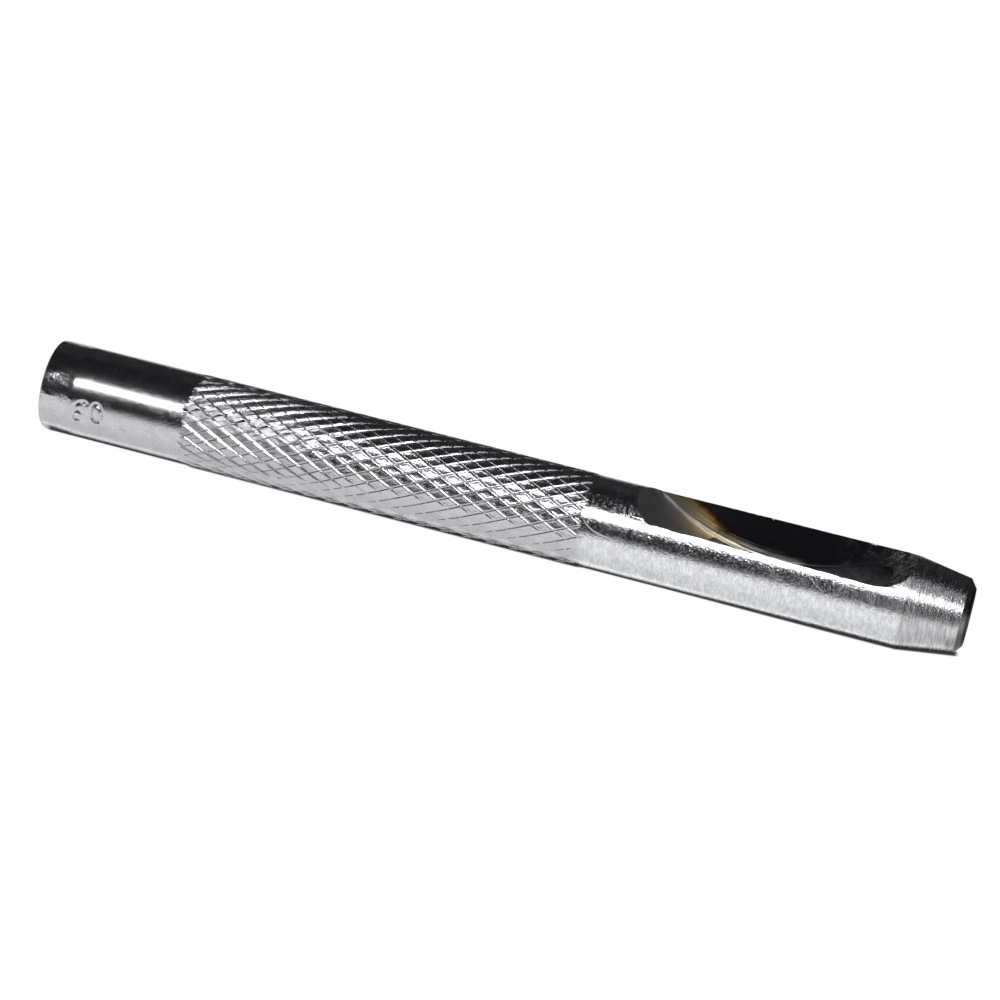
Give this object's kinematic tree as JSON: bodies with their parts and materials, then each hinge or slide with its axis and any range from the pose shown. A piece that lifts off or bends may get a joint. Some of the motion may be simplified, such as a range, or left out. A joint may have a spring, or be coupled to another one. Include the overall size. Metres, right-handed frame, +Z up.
{
  "type": "hollow punch",
  "caption": "Round steel hollow punch with a knurled grip, a tapered cutting tip, an axial bore and a side slot that lets punched discs fall out.",
  "frame": {"origin": "middle of the punch's length, on the surface that it lies on", "axes": "+X along the punch from the striking face to the cutting edge, +Z up through the slot, the punch lying on its grip"},
  "size_m": [0.102, 0.01, 0.0101],
  "materials": {
    "plated_steel": "bright plating over turned and knurled tool steel, satin on the tip, dark and heat-tinted inside the slot"
  },
  "bodies": {
    "root": {"punch": "plated_steel"}
  },
  "joints": []
}
